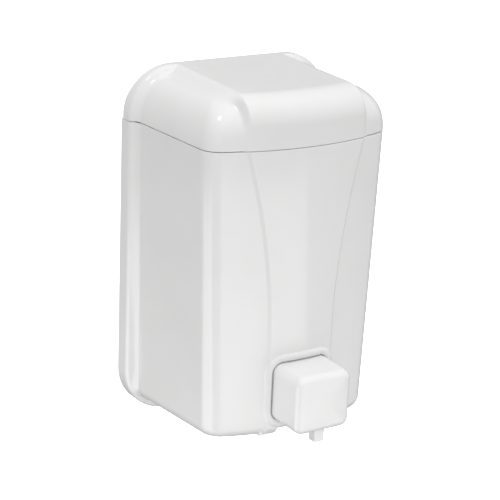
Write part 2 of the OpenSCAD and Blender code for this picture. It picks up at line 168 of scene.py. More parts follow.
# Spout and the slot for it in the button
OUTLET = 84.9
TIP_W = 5.0
TIP_DEPTH = 85.1
TIP_Z = 10.2
TIP_TOP = 18.4
SPIGOT_H = 0.99
SPIGOT_R = 2.25
TIP_BORE_R = 1.2
SLOT = ((-2.7, 2.7), (82.3, BUTTON_FRONT - BUTTON_WALL), (8.2, 19.2))

# Springs, as radius, wire radius, length and turns
RETURN_SPRING = (4.1, 0.45, 29.2, 9)
OUTLET_SPRING = (1.3, 0.2, 3.55, 4)
GLAND_FRONT = 52.0


def mix(a, b, t):
    return a + (b - a) * t


def smooth(t):
    t = np.clip(t, 0.0, 1.0)
    return t * t * (3.0 - 2.0 * t)


def climb(z):
    return (z - FLOOR) / (SEAM - FLOOR)


def side_w(z):
    """Half width of the tank beside the flange."""
    return mix(*SIDE_W, climb(z))


def front_w(z):
    """Half width where the side and the front would meet."""
    return mix(*FRONT_W, climb(z))


def front_d(z):
    """Depth of the raised front panel in the middle."""
    return mix(*FRONT_D, climb(z))


def panel_w(z):
    """Half width of the raised front panel."""
    over = np.maximum(z - PANEL_TURN_Z, 0.0) / (SEAM - PANEL_TURN_Z)
    return PANEL_LOW + (PANEL_HIGH - PANEL_LOW) * over ** 2


def bowed(x, d, w, b):
    """Depth at x of a front that bows out to d in the middle and falls by b at half width w."""
    r = (w * w + b * b) / (2.0 * b)
    return d - r + np.sqrt(r * r - x * x)


# ---------- mesh tools ----------


def bench(points):
    """From bench millimetres to the frame's metres."""
    p = np.asarray(points, float)
    return np.stack([p[..., 0], -p[..., 1], p[..., 2] - HEIGHT / 2], axis=-1) * 0.001


class Shape:
    """Vertices and faces in bench millimetres."""

    def __init__(self):
        self.verts = []
        self.faces = []

    def grid(self, rows, wrap=False):
        rows = np.asarray(rows, float)
        levels, n, _ = rows.shape
        base = len(self.verts)
        self.verts.extend(rows.reshape(-1, 3).tolist())
        for k in range(levels - 1):
            for i in range(n if wrap else n - 1):
                a = base + k * n + i
                b = base + k * n + (i + 1) % n
                self.faces.append((a, b, b + n, a + n))

    def cap(self, ring):
        base = len(self.verts)
        self.verts.extend(np.asarray(ring, float).tolist())
        self.faces.append(tuple(range(base, base + len(ring))))

    def closed(self, rows):
        """Rings of points, closed by a face at each end."""
        self.grid(rows, wrap=True)
        self.cap(rows[0])
        self.cap(rows[-1])

    def block(self, xs, ds, zs, soft=SHARP):
        """Box, with its upper and lower edges softened by soft."""
        flat = np.array([(xs[0], ds[0]), (xs[1], ds[0]), (xs[1], ds[1]), (xs[0], ds[1])], float)
        self.closed(soft_prism(flat, *zs, soft))

    def tube(self, start, end, outer, inner=0.0):
        """Round bar or tube from start to end, with softened rims."""
        soft, sides = 0.2, 48
        start = np.asarray(start, float)
        axis = np.asarray(end, float) - start
        length = np.linalg.norm(axis)
        axis /= length
        u = np.cross(axis, (0.0, 0.0, 1.0) if abs(axis[2]) < 0.9 else (1.0, 0.0, 0.0))
        u /= np.linalg.norm(u)
        v = np.cross(axis, u)
        profile = [(0.0, outer - soft), (soft * 0.3, outer - soft * 0.3), (soft, outer)]
        profile += [(length - s, r) for s, r in reversed(profile)]
        if inner > 0.0:
            back = [(length, inner + soft), (length - soft, inner)]
            profile += back + [(length - s, r) for s, r in reversed(back)]
            profile.append(profile[0])
        turns = np.linspace(0.0, 2.0 * math.pi, sides, endpoint=False)
        rows = [
            [start + axis * s + r * (u * math.cos(a) + v * math.sin(a)) for a in turns]
            for s, r in profile
        ]
        if inner > 0.0:
            self.grid(rows, wrap=True)
        else:
            self.closed(rows)

    def mesh(self, name):
        bm = bmesh.new()
        made = [bm.verts.new(v) for v in bench(self.verts)]
        for face in self.faces:
            bm.faces.new([made[i] for i in face])
        bmesh.ops.remove_doubles(bm, verts=bm.verts, dist=2e-6)
        bmesh.ops.dissolve_degenerate(bm, edges=bm.edges, dist=1e-7)
        bmesh.ops.recalc_face_normals(bm, faces=bm.faces)
        mesh = bpy.data.meshes.new(name)
        bm.to_mesh(mesh)
        bm.free()
        return mesh


def soft_prism(flat, z0, z1, soft):
    """Rings of an upright prism of an (x, depth) outline, drawn in at both ends to soften the edges."""
    middle = (flat.min(axis=0) + flat.max(axis=0)) / 2
    half = (flat.max(axis=0) - flat.min(axis=0)) / 2
    ends = ((0.0, soft), (soft * 0.3, soft * 0.3), (soft, 0.0))
    levels = [(z0 + up, inset) for up, inset in ends]
    levels += [(z1 - up, inset) for up, inset in reversed(ends)]
    return [np.insert(middle + (flat - middle) * (half - inset) / half, 2, z, axis=1) for z, inset in levels]


def rounded_rect(w, h, r, steps):
    """Outline of a rounded rectangle about the origin, as (x, z) points."""
    points = []
    for quarter, (sx, sz) in enumerate(((1, 1), (-1, 1), (-1, -1), (1, -1))):
        for k in range(steps + 1):
            a = math.radians(90.0 * (quarter + k / steps))
            points.append((sx * (w / 2 - r) + r * math.cos(a), sz * (h / 2 - r) + r * math.sin(a)))
    return np.array(points)


def mirrored(half):
    """A closed ring from its half, which runs from the middle of the back to the middle of the front."""
    half = np.asarray(half, float)
    return np.concatenate([half, half[-2:0:-1] * (-1.0, 1.0, 1.0)])


def cut(mesh, *cutters):
    """The mesh with the cutters' shapes taken out of it."""
    obj = bpy.data.objects.new("cut", mesh)
    scene.collection.objects.link(obj)
    tools = []
    for shape in cutters:
        tool = bpy.data.objects.new("cutter", shape.mesh("cutter"))
        scene.collection.objects.link(tool)
        tools.append(tool)
        step = obj.modifiers.new("cut", "BOOLEAN")
        step.operation = "DIFFERENCE"
        step.solver = "EXACT"
        step.object = tool
    bpy.context.view_layer.update()
    done = obj.evaluated_get(bpy.context.evaluated_depsgraph_get())
    result = bpy.data.meshes.new_from_object(done)
    for extra in (obj, *tools):
        bpy.data.objects.remove(extra)
    return result


def add_piece(name, mesh, material, body, replaces=None, sharp=40.0):
    """Make a piece that rides a body, in place of a CAD node where replaces names one."""
    mesh.name = name
    mesh.materials.clear()
    mesh.materials.append(material)
    for face in mesh.polygons:
        face.use_smooth = True
    mesh.set_sharp_from_angle(angle=math.radians(sharp))
    obj = bpy.data.objects.new(name, mesh)
    scene.collection.objects.link(obj)
    weigh = obj.modifiers.new("weighted_normals", "WEIGHTED_NORMAL")
    weigh.keep_sharp = True
    weigh.weight = 90
    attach(obj, body)
    if replaces:
        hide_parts(replaces)


# ---------- materials ----------


def new_material(name):
    material = bpy.data.materials.new(name)
    material.use_nodes = True
    nodes = material.node_tree.nodes
    nodes.clear()
    out = nodes.new("ShaderNodeOutputMaterial")
    shader = nodes.new("ShaderNodeBsdfPrincipled")
    material.node_tree.links.new(shader.outputs["BSDF"], out.inputs["Surface"])
    return material, shader


def noise(material, scale, detail=3.0, stretch=(1.0, 1.0, 1.0)):
    """Noise in object space, whose scale is in cells per metre."""
    nodes, links = material.node_tree.nodes, material.node_tree.links
    where = nodes.new("ShaderNodeTexCoord")
    scaling = nodes.new("ShaderNodeMapping")
    scaling.inputs["Scale"].default_value = stretch
    texture = nodes.new("ShaderNodeTexNoise")
    texture.inputs["Scale"].default_value = scale
    texture.inputs["Detail"].default_value = detail
    texture.inputs["Roughness"].default_value = 0.55
    links.new(where.outputs["Object"], scaling.inputs["Vector"])
    links.new(scaling.outputs["Vector"], texture.inputs["Vector"])
    return texture.outputs["Fac"]


def spread(material, fac, low, high):
    """Noise spread over a range of numbers."""
    node = material.node_tree.nodes.new("ShaderNodeMapRange")
    node.inputs["From Min"].default_value = 0.3
    node.inputs["From Max"].default_value = 0.7
    node.inputs["To Min"].default_value = low
    node.inputs["To Max"].default_value = high
    material.node_tree.links.new(fac, node.inputs["Value"])
    return node.outputs["Result"]


def tint(material, fac, low, high):
    """Noise spread between two colours."""
    node = material.node_tree.nodes.new("ShaderNodeMix")
    node.data_type = "RGBA"
    node.inputs["A"].default_value = (*low, 1.0)
    node.inputs["B"].default_value = (*high, 1.0)
    material.node_tree.links.new(spread(material, fac, 0.0, 1.0), node.inputs["Factor"])
    return node.outputs["Result"]


def bump(material, shader, height, distance, under=None):
    """Bump drawn from a noise, with its depth in metres, laid over the bump under it."""
    node = material.node_tree.nodes.new("ShaderNodeBump")
    node.inputs["Distance"].default_value = distance
    node.inputs["Strength"].default_value = 1.0
    material.node_tree.links.new(height, node.inputs["Height"])
    if under:
        material.node_tree.links.new(under, node.inputs["Normal"])
    material.node_tree.links.new(node.outputs["Normal"], shader.inputs["Normal"])
    return node.outputs["Normal"]


def moulded_plastic(name, low, high, rough, ripple, grain, grain_scale):
    """Moulded plastic: slow colour drift, uneven gloss, the mould's slight ripple and its fine grain."""
    material, shader = new_material(name)
    links = material.node_tree.links
    links.new(tint(material, noise(material, 35.0), low, high), shader.inputs["Base Color"])
    links.new(spread(material, noise(material, 140.0), *rough), shader.inputs["Roughness"])
    shader.inputs["IOR"].default_value = 1.53
    waves = bump(material, shader, noise(material, 60.0, 1.0), ripple)
    bump(material, shader, noise(material, grain_scale, 2.0), grain, under=waves)
    return material


def rubber_material():
    material, shader = new_material("nitrile_rubber")
    links = material.node_tree.links
    colour = tint(material, noise(material, 300.0), (0.018, 0.018, 0.019), (0.035, 0.035, 0.034))
    links.new(colour, shader.inputs["Base Color"])
    links.new(spread(material, noise(material, 900.0), 0.5, 0.68), shader.inputs["Roughness"])
    bump(material, shader, noise(material, 4000.0, 2.0), 0.00001)
    return material


def steel_material():
    material, shader = new_material("drawn_steel")
    links = material.node_tree.links
    colour = tint(material, noise(material, 250.0), (0.50, 0.50, 0.49), (0.62, 0.62, 0.61))
    links.new(colour, shader.inputs["Base Color"])
    shader.inputs["Metallic"].default_value = 1.0
    links.new(spread(material, noise(material, 1500.0), 0.16, 0.32), shader.inputs["Roughness"])
    bump(material, shader, noise(material, 3000.0, 2.0, stretch=(1.0, 0.1, 1.0)), 0.000004)
    return material


SHELL = moulded_plastic("glossy_white_abs", (0.775, 0.775, 0.772), (0.80, 0.80, 0.797),
                        (0.10, 0.16), 0.00003, 0.0000012, 2600.0)
BUTTON = moulded_plastic("glossy_white_abs_button", (0.80, 0.80, 0.797), (0.82, 0.82, 0.817),
                         (0.13, 0.19), 0.00002, 0.0000012, 2600.0)
PLATE = moulded_plastic("textured_offwhite_abs", (0.70, 0.70, 0.685), (0.74, 0.74, 0.725),
                        (0.42, 0.55), 0.00003, 0.00003, 3200.0)
PUMP = moulded_plastic("natural_polypropylene", (0.68, 0.69, 0.68), (0.73, 0.74, 0.73),
                       (0.30, 0.42), 0.00003, 0.000006, 2400.0)
RUBBER = rubber_material()
STEEL = steel_material()

# ---------- tank outline ----------

SIDE_STEPS = 14
CORNER_STEPS = 14
FLANK_STEPS = 26
EDGE_STEPS = 8
PANEL_STEPS = 40
EDGE_HALF = 0.9


def corner_curve(z, side_in, front_in, c):
    """Side line, rounded corner and front of an outline drawn in by side_in and front_in."""
    w = side_w(z) - side_in
    q = front_w(z) - side_in
    d = front_d(z) - STEP - front_in
    b = BOW - STEP
    tip = np.array((q, d - b))
    heel = np.array((w, COVE))
    start = tip + c * (heel - tip) / np.linalg.norm(heel - tip)
    stop = np.array((q - c * 0.93, 0.0))
    stop[1] = bowed(stop[0], d, q, b)
    t = np.linspace(0.0, 1.0, CORNER_STEPS + 1)[:, None]
    near, far = mix(start, tip, 0.6), mix(stop, tip, 0.6)
    curve = (1 - t) ** 3 * start + 3 * (1 - t) ** 2 * t * near + 3 * (1 - t) * t * t * far + t ** 3 * stop
    return heel, curve, (d, q, b)


def tank_half(z, level, e=0.0, back=SHELL_BACK, panel=1.0):
    """Half a ring of the tank at height level, with the outline that it has at z, drawn in by e."""
    heel, curve, (d, q, b) = corner_curve(z, e, e, max(CORNER - 0.5 * e, 2.0))
    side = mix(heel, curve[0], np.linspace(0.0, 1.0, SIDE_STEPS)[:-1, None])
    hw = panel_w(z)
    flank = mix(curve[-1][0], hw + EDGE_HALF, 1.0 - (1.0 - np.linspace(0, 1, FLANK_STEPS)) ** 1.6)
    edge = np.linspace(hw + EDGE_HALF, hw - EDGE_HALF, EDGE_STEPS)
    middle = np.linspace(hw - EDGE_HALF, 0.0, PANEL_STEPS)
    xs = np.concatenate([flank[1:], edge[1:], middle[1:]])
    raised = panel * STEP * smooth((hw + EDGE_HALF - xs) / (2 * EDGE_HALF))
    front = np.stack([xs, bowed(xs, d, q, b) + raised], axis=1)
    flat = np.concatenate([[(0.0, back), (heel[0], back)], side, curve, front])
    return np.insert(flat, 2, level, axis=1)


def lip_height(x, z):
    """Height of the bead round the button's opening."""
    half_w = BUTTON_W / 2 + APERTURE_GAP - APERTURE_R
    half_h = BUTTON_H / 2 + APERTURE_GAP - APERTURE_R
    dx = np.maximum(np.abs(x) - half_w, 0.0)
    dz = np.maximum(np.abs(z - PUMP_Z) - half_h, 0.0)
    t = (np.hypot(dx, dz) - APERTURE_R) / LIP_W
    crest = 1.0 - np.abs(2.0 * np.clip(t, 0.0, 1.0) - 1.0) ** 2.6
    return LIP_H * crest ** 0.8


def body_levels():
    """Heights of the tank's outer rings, each with how far the bottom rounding draws it in."""
    turn = np.radians(np.linspace(4.0, 90.0, 18))
    levels = [(FLOOR + FLOOR_ROUND * (1 - math.cos(a)), FLOOR_ROUND * (1 - math.sin(a))) for a in turn]
    top = SEAM - HALF_GAP
    levels += [(z, 0.0) for z in np.arange(FLOOR + FLOOR_ROUND + 0.45, 50.0, 0.45)]
    levels += [(z, 0.0) for z in np.arange(50.5, top - 1.0, 2.4)]
    levels += [(top - 0.3, 0.0), (top - 0.1, 0.08), (top, 0.28)]
    return levels


def with_lip(ring):
    """Half a ring with the bead raised on its front."""
    front = ring[:, 1] > LIP_BACK
    ring[front, 1] += lip_height(ring[front, 0], ring[front, 2])
    return ring


def cutter(*box):
    """Sharp box that is cut away from a piece."""
    shape = Shape()
    shape.block(*box)
    return shape


def make_body_shell():
    """Tank with its panel, bead and upstand: the outside from below up, then the inside back down."""
    rows = [mirrored(with_lip(tank_half(z, z, e))) for z, e in body_levels()]
    top = SEAM - HALF_GAP
    high = top + UPSTAND_H
    near, far, soft = UPSTAND_IN, UPSTAND_IN + UPSTAND_T, 0.2
    inner = [(top, near), (high - soft, near), (high, near + soft), (high, far - soft), (high - soft, far),
             (top - UPSTAND_H, far), (top - 1.5 * UPSTAND_H, WALL), (80.0, WALL),
             (FLOOR + FLOOR_ROUND, WALL)]
    inner_round = FLOOR_ROUND - WALL
    for a in np.radians(np.arange(15.0, 91.0, 15.0)):
        inner.append((FLOOR + FLOOR_ROUND - inner_round * math.sin(a),
                      WALL + inner_round * (1 - math.cos(a))))
    for level, e in inner:
        row = mirrored(tank_half(level, level, e, back=INNER_BACK, panel=0.0))
        row[row[:, 1] < UPSTAND_BACK, 2] = min(level, top)
        rows.append(row)
    shell = Shape()
    shell.closed(rows)
    opening = Shape()
    outline = rounded_rect(BUTTON_W + 2 * APERTURE_GAP, BUTTON_H + 2 * APERTURE_GAP, APERTURE_R, 12)
    outline[:, 1] += PUMP_Z
    opening.closed([np.insert(outline, 1, d, axis=1) for d in APERTURE_DEPTHS])
    mesh = cut(shell.mesh("body_shell"), opening, cutter(*NOTCH))
    add_piece("body_shell", mesh, SHELL, "dispenser", "body", 32.0)


def make_pump_pocket():
    walls = Shape()
    walls.block((-POCKET_HALF - WALL, POCKET_HALF + WALL), (POCKET_DEPTHS[0] - WALL, POCKET_FRONT),
                (FLOOR + 0.6, POCKET_ZS[1] + WALL), 0.3)
    inside = cutter((-POCKET_HALF, POCKET_HALF), POCKET_DEPTHS, POCKET_ZS)
    bore = Shape()
    bore.tube(*((0.0, depth, PUMP_Z) for depth in BORE_DEPTHS), BORE_R)
    mesh = cut(walls.mesh("pocket"), inside, cutter(*NOTCH), bore)
    add_piece("pump_pocket", mesh, SHELL, "dispenser")


# ---------- back flange ----------


def outline_point(s, reach, side):
    """Point and outward direction on the flange's outline. s runs 0 to 1 from the seam along the straight
    edge (reach long), round the corner and to the middle of the bottom (side -1) or the top (side 1)."""
    arc = FLANGE_R * math.pi / 2
    flat = FLANGE_W / 2 - FLANGE_R
    at = s * (reach + arc + flat)
    corner_z = HEIGHT - FLANGE_R if side > 0 else FLANGE_R
    if at <= reach:
        return np.array((FLANGE_W / 2, corner_z - side * (reach - at))), np.array((1.0, 0.0))
    a = min((at - reach) / FLANGE_R, math.pi / 2)
    out = np.array((math.cos(a), side * math.sin(a)))
    point = np.array((flat, corner_z)) + FLANGE_R * out
    point[0] -= max(at - reach - arc, 0.0)
    return point, out


def flange_profile(back, back_round, web):
    """Section of the flange as (inset from its outline, depth) points."""
    points = [(back_round, back), (back_round * 0.3, back + back_round * 0.3), (0.0, back + back_round)]
    points.append((0.0, (back + FLANGE_EDGE) / 2))
    for k in range(13):
        a = math.radians(7.5 * k)
        points.append((FLANGE_ROUND * (1 - math.cos(a)), FLANGE_EDGE + FLANGE_ROUND * math.sin(a)))
    points += [(web, FLANGE_FRONT), (web, WEB_BACK), (WALL, WEB_BACK), (WALL, back)]
    limit = web if web < FLANGE_ROUND else 99.0
    return np.array([(min(i, limit), d) for i, d in points])


def flange_rows(side, web_at):
    """Sections all round one part of the flange, from the seam on one side to the seam on the other."""
    seam = SEAM + side * HALF_GAP
    reach = abs((HEIGHT - FLANGE_R if side > 0 else FLANGE_R) - seam)
    straight = 8 if side < 0 else 4
    total = reach + FLANGE_R * math.pi / 2 + FLANGE_W / 2 - FLANGE_R
    stops = np.concatenate([
        np.linspace(0.0, reach, straight)[:-1],
        np.linspace(reach, reach + FLANGE_R * math.pi / 2, 30)[:-1],
        np.linspace(reach + FLANGE_R * math.pi / 2, total, 12)
    ]) / total
    rows = []
    for s in stops:
        point, out = outline_point(s, reach, side)
        rows.append(section(point, out, side, web_at(point, out)))
    return rows + [row * (-1.0, 1.0, 1.0) for row in rows[-2::-1]]


def section(point, out, side, web):
    """Section of the flange at a point of its outline. The lid's back edge is rounder on top."""
    back = LID_BACK if side > 0 else 0.0
    back_round = 0.3 + 1.7 * float(smooth((point[1] - 140.0) / 12.0)) if side > 0 else 0.3
    profile = flange_profile(back, back_round, web)
    spots = point - profile[:, :1] * out
    return np.stack([spots[:, 0], profile[:, 1], spots[:, 1]], axis=1)


def body_section():
    """Outline of the tank where it meets the flange, as (x, z) points with outward directions."""
    points = []
    for z in np.linspace(SEAM - HALF_GAP, FLOOR + FLOOR_ROUND, 30):
        points.append(((side_w(z), z), (1.0, 0.0)))
    w = side_w(FLOOR + FLOOR_ROUND) - FLOOR_ROUND
    for k in range(1, 15):
        a = math.radians(90.0 * k / 14)
        out = (math.cos(a), -math.sin(a))
        points.append(((w + FLOOR_ROUND * out[0], FLOOR + FLOOR_ROUND + FLOOR_ROUND * out[1]), out))
    for x in np.linspace(w, 0.0, 14)[1:]:
        points.append(((x, FLOOR), (0.0, -1.0)))
    return points


def room(x, z, ox, oz):
    """Distance from a point to the flange's outline, in the direction (ox, oz)."""
    low, high = 0.0, 30.0
    for _ in range(30):
        t = (low + high) / 2
        ax, az = abs(x + t * ox), abs(z + t * oz - HEIGHT / 2)
        dx = max(ax - FLANGE_W / 2 + FLANGE_R, 0.0)
        dz = max(az - HEIGHT / 2 + FLANGE_R, 0.0)
        low, high = (t, high) if math.hypot(dx, dz) < FLANGE_R else (low, t)
    return low


def fillet_rows(points, sizes):
    """Concave strip that joins a wall to the flange's rounded edge, along points with outward directions."""
    rows = []
    for ((x, z), (ox, oz)), size in zip(points, sizes):
        space = room(x, z, ox, oz)
        inset = min(max(space - size, 1.0), FLANGE_ROUND)
        side = (FLANGE_ROUND - inset) / FLANGE_ROUND
        stop = (space - inset if inset < FLANGE_ROUND else size,
                FLANGE_EDGE + FLANGE_ROUND * math.sqrt(1 - side * side))
        slope = side / math.sqrt(1 - side * side) if side < 1 else 0.0
        start = (0.0, FLANGE_FRONT + size)
        bend = (0.0, stop[1] + stop[0] * slope)
        row = []
        for t in np.linspace(0.0, 1.0, 11):
            grow, depth = (mix(mix(a, b, t), mix(b, c, t), t) for a, b, c in zip(start, bend, stop))
            row.append((x + ox * grow, depth, z + oz * grow))
        rows.append(np.array(row))
    return rows + [row * (-1.0, 1.0, 1.0) for row in rows[-2::-1]]


def make_body_flange():
    flange = Shape()
    flange.closed(flange_rows(-1, lambda point, out: FLANGE_WEB))
    add_piece("body_flange", flange.mesh("f"), SHELL, "dispenser", sharp=30.0)
    fillet = Shape()
    points = body_section()
    fillet.grid(fillet_rows(points, [COVE - FLANGE_FRONT] * len(points)))
    add_piece("body_fillet", fillet.mesh("f"), SHELL, "dispenser", sharp=80.0)


# ---------- hinge ----------


def make_hinge_posts():
    posts = Shape()
    for side in (-1, 1):
        xs = sorted(side * x for x in POST_X)
        posts.tube(*((x, HINGE_DEPTH, HINGE_Z) for x in xs), KNUCKLE_R, PIN_R + 0.05)
        posts.block(xs, (WEB_BACK, FLANGE_FRONT), (SEAM - 8.0, HINGE_Z - 1.9), 0.3)
    add_piece("body_hinge_posts", posts.mesh("p"), SHELL, "dispenser")


def make_hangers():
    bars = Shape()
    for middle in (-HOOK_X, HOOK_X):
        left, right = middle - HANGER_HALF, middle + HANGER_HALF
        for z in HOOK_ZS:
            bars.block((left, right), BAR, (z, z + BAR_H), 0.3)
            for x in (left, right - RIB):
                bars.block((x, x + RIB), (BAR[0] + 0.3, WEB_BACK + 0.5), (z + 0.1, z + BAR_H - 0.1), 0.3)
    add_piece("body_hanger_bars", bars.mesh("b"), SHELL, "dispenser")


def make_lid_ears():
    ears = Shape()
    for side in (-1, 1):
        xs = sorted(side * x for x in EAR_X)
        ears.tube(*((x, HINGE_DEPTH, HINGE_Z) for x in xs), KNUCKLE_R, PIN_R)
        ears.block(xs, (HINGE_DEPTH - KNUCKLE_R, HINGE_DEPTH + KNUCKLE_R), (HINGE_Z + 1.7, EAR_TOP), 0.2)
    add_piece("lid_hinge_ears", ears.mesh("e"), SHELL, "lid")


# ---------- lid ----------

DOME_TURNS = np.radians(np.concatenate([np.linspace(0.8, 60.0, 30), np.linspace(62.0, 90.0, 22)]))


def dome_side_in(z, e):
    """How far the dome's sides are drawn in at height z."""
    t = np.clip((z + e - SEAM) / (SHOULDER_Z - SEAM), 0.0, 1.0)
    return e + SIDE_REACH * (1 - np.sqrt(1 - t * t))


def front_in(z, e, top):
    """How far the dome's front is drawn in at height z, where its top is at top."""
    t = np.clip((z + e - top + FRONT_RISE) / FRONT_RISE, 0.0, 1.0)
    return e + FRONT_REACH * (1 - np.sqrt(1 - t * t))


def dome_levels(e):
    """Heights of the dome's rings, closer together where its top flattens."""
    low = SEAM + HALF_GAP
    rise = SHOULDER_Z - e - low
    return low + rise * np.sin(DOME_TURNS)


def dome_half(z, e, back=7.0):
    """Half a ring of the lid's shoulders at height z, drawn in by e, without the raised middle."""
    side = dome_side_in(z, e)
    heel, curve, (d, q, b) = corner_curve(SEAM, side, front_in(z, e, SHOULDER_Z), max(CORNER - 0.4 * e, 2.0))
    beside = mix(heel, curve[0], np.linspace(0.0, 1.0, 24)[:-1, None])
    xs = curve[-1][0] * np.linspace(1.0, 0.0, 30)[1:]
    front = np.stack([xs, bowed(xs, d, q, b)], axis=1)
    flat = np.concatenate([[(heel[0], back)], beside, curve, front])
    return np.insert(flat, 2, z, axis=1)


def dome_depth(rings, xs):
    """Depth of each ring at each x, which falls as x grows."""
    table = []
    for ring in rings:
        order = ring[::-1]
        depth = np.interp(xs, order[:, 0], order[:, 1], right=-50.0)
        table.append(depth)
    return np.array(table)


def resample(path, fractions):
    """Points along a path of (depth, z), at fractions of its length."""
    steps = np.linalg.norm(np.diff(path, axis=0), axis=1)
    along = np.concatenate([[0.0], np.cumsum(steps)])
    at = fractions * along[-1]
    return np.stack([np.interp(at, along, path[:, 0]), np.interp(at, along, path[:, 1])], axis=1)


def split_path(path, low_z, top_depth, counts):
    """A front-to-back path resampled in its upright, its rounded and its top stretch."""
    low = path[path[:, 1] <= low_z]
    round_part = path[(path[:, 1] > low_z) & (path[:, 0] >= top_depth)]
    top = path[(path[:, 1] > low_z) & (path[:, 0] < top_depth)]
    round_part = np.concatenate([low[-1:], round_part])
    top = np.concatenate([round_part[-1:], top])
    parts = [
        resample(low, np.linspace(0.0, 1.0, counts[0])),
        resample(round_part, np.linspace(0.0, 1.0, counts[1]))[1:],
        resample(top, np.linspace(0.0, 1.0, counts[2]))[1:]
    ]
    return np.concatenate(parts)


def side_climb(t):
    """Climb from 0 to 1 of the raised middle's side: a wide hollow, a slope and a tight edge."""
    t = np.clip(t, 0.0, 1.0)
    hollow = np.minimum(t, 0.5) ** 2
    slope = np.clip(t - 0.5, 0.0, 0.35)
    over = np.maximum(t - 0.85, 0.0)
    return (hollow + slope + over - over ** 2 / 0.3) / 0.675


CROWN_COUNTS = (8, 22, 26)
CROWN_COLUMNS = np.concatenate([np.linspace(0.0, 0.70, 20), np.linspace(0.72, 1.0, 34)])


def crown_path(x, e, back):
    """Section of the raised middle at x, from the seam up its front and back along its top."""
    low = SEAM + HALF_GAP
    top = HEIGHT - e
    turn = top - FRONT_RISE
    lift = np.radians(np.linspace(0.0, 90.0, 60))
    d = bowed(x, front_d(SEAM) - e, front_w(SEAM), BOW)
    z = np.concatenate([np.linspace(low, turn, 20)[:-1], turn + (FRONT_RISE - TOP_SLOPE) * np.sin(lift)])
    depth = np.concatenate([np.full(19, d), d - FRONT_REACH * (1 - np.cos(lift))])
    path = np.stack([depth, z], axis=1)
    return np.concatenate([path, [(back, top)]])


def shoulder_path(x, e, back, rings):
    """Section of the shoulders' dome at x, from the seam up its front and back along its top."""
    depth = dome_depth(rings, np.array([x]))[:, 0]
    z = np.array([ring[0, 2] for ring in rings])
    keep = depth > back
    path = np.stack([depth[keep], z[keep]], axis=1)
    last = path[-1]
    knee = bowed(x, front_d(SEAM) - e, front_w(SEAM), BOW) - FRONT_REACH
    return np.concatenate([path, [(min(knee, last[0] - 0.1), last[1]), (back, last[1])]])


def crown_rows(e, back):
    """The raised middle with its S-shaped sides, which run out a hair under the shoulders' dome."""
    low = SEAM + HALF_GAP
    turns = np.sin(np.radians(np.linspace(0, 90, 240)))
    fine = [dome_half(z, e, back=back) for z in low + (SHOULDER_Z - e - low) * turns]
    count = sum(CROWN_COUNTS) - 2
    # The sides spread from their width at the seam to their width on top near the end of the rounding
    upright = smooth((np.arange(count) - 19.0) / 12.0)
    outer = mix(*CROWN_FOOT, upright) - 0.4 * e
    inner = mix(*CROWN_EDGE, upright) - 0.4 * e
    paths = {}

    def both_paths(x):
        key = round(x, 3)
        if key not in paths:
            turn_z = HEIGHT - FRONT_RISE - e
            knee = bowed(x, front_d(SEAM) - e, front_w(SEAM), BOW) - FRONT_REACH
            paths[key] = (split_path(shoulder_path(x, e, back, fine), turn_z, knee - 0.2, CROWN_COUNTS),
                          split_path(crown_path(x, e, back), turn_z, knee - 0.01, CROWN_COUNTS))
        return paths[key]

    made = []
    for column in CROWN_COLUMNS:
        line = []
        for m in range(count):
            x = outer[m] * column
            share = float(side_climb((outer[m] - x) / (outer[m] - inner[m])))
            under, over = both_paths(x)
            depth, z = mix(under[m], over[m], share)
            sunk = CROWN_SINK * (1.0 - share)
            line.append((x, depth - sunk, z - sunk if m else z))
        made.append(line)
    made = np.array(made)
    return np.concatenate([made[::-1], made[1:] * (-1.0, 1.0, 1.0)])


def whole(half):
    """An open row from its half, which ends at the middle of the front."""
    return np.concatenate([half, half[-2::-1] * (-1.0, 1.0, 1.0)])


def make_lid_shell():
    low = SEAM + HALF_GAP
    outer = [dome_half(low, 0.25), dome_half(low + 0.1, 0.07)]
    outer += [dome_half(z, 0.0) for z in dome_levels(0.0)]
    inner = [dome_half(z, WALL, back=WEB_BACK) for z in dome_levels(WALL)]
    shell = Shape()
    for part in (outer, inner):
        keep_grid(shell, np.array([whole(half) for half in part]))
    shell.grid([whole(dome_half(low, 0.25)), whole(dome_half(low, WALL, back=WEB_BACK))])
    crown = crown_rows(0.0, FLANGE_EDGE)
    shell.grid(crown)
    shell.grid(crown_rows(WALL, WEB_BACK - 2.0))
    shell.grid(np.stack([crown[:, 0], crown[:, 0] - (0.0, STEP + 0.6, 0.0)]))
    add_piece("lid_shell", shell.mesh("lid"), SHELL, "lid", "lid", 50.0)


# Half widths that the raised middle hides for sure, on the dome's front and on its top
HIDDEN = (27.0, 31.0)


def keep_grid(shape, rows):
    """Grid of the dome, without the faces that the raised middle hides."""
    levels, n, _ = rows.shape
    base = len(shape.verts)
    shape.verts.extend(rows.reshape(-1, 3).tolist())
    for k in range(levels - 1):
        for i in range(n - 1):
            corners = rows[[k, k, k + 1, k + 1], [i, i + 1, i + 1, i]]
            edge = HIDDEN[0] if corners[:, 2].max() < SHOULDER_Z - 0.9 else HIDDEN[1]
            if (np.abs(corners[:, 0]) < edge).all() and corners[:, 1].min() > 0.0:
                continue
            a = base + k * n + i
            shape.faces.append((a, a + 1, a + 1 + n, a + n))


def dome_section():
    """Outline of the lid's shoulders where they meet the flange, up to the raised middle."""
    points = []
    for a in np.radians(np.linspace(1.0, 85.0, 46)):
        z = SEAM + (SHOULDER_Z - SEAM) * math.sin(a)
        x = side_w(SEAM) - SIDE_REACH * (1 - math.cos(a))
        out = np.array((math.cos(a) / SIDE_REACH, math.sin(a) / (SHOULDER_Z - SEAM)))
        points.append(((x, z), tuple(out / np.linalg.norm(out))))
    # A few points more up the raised middle's side
    for x in np.linspace(32.6, 28.6, 5):
        points.append(((x, float(shell_height(x))), (0.35, 0.937)))
    return points


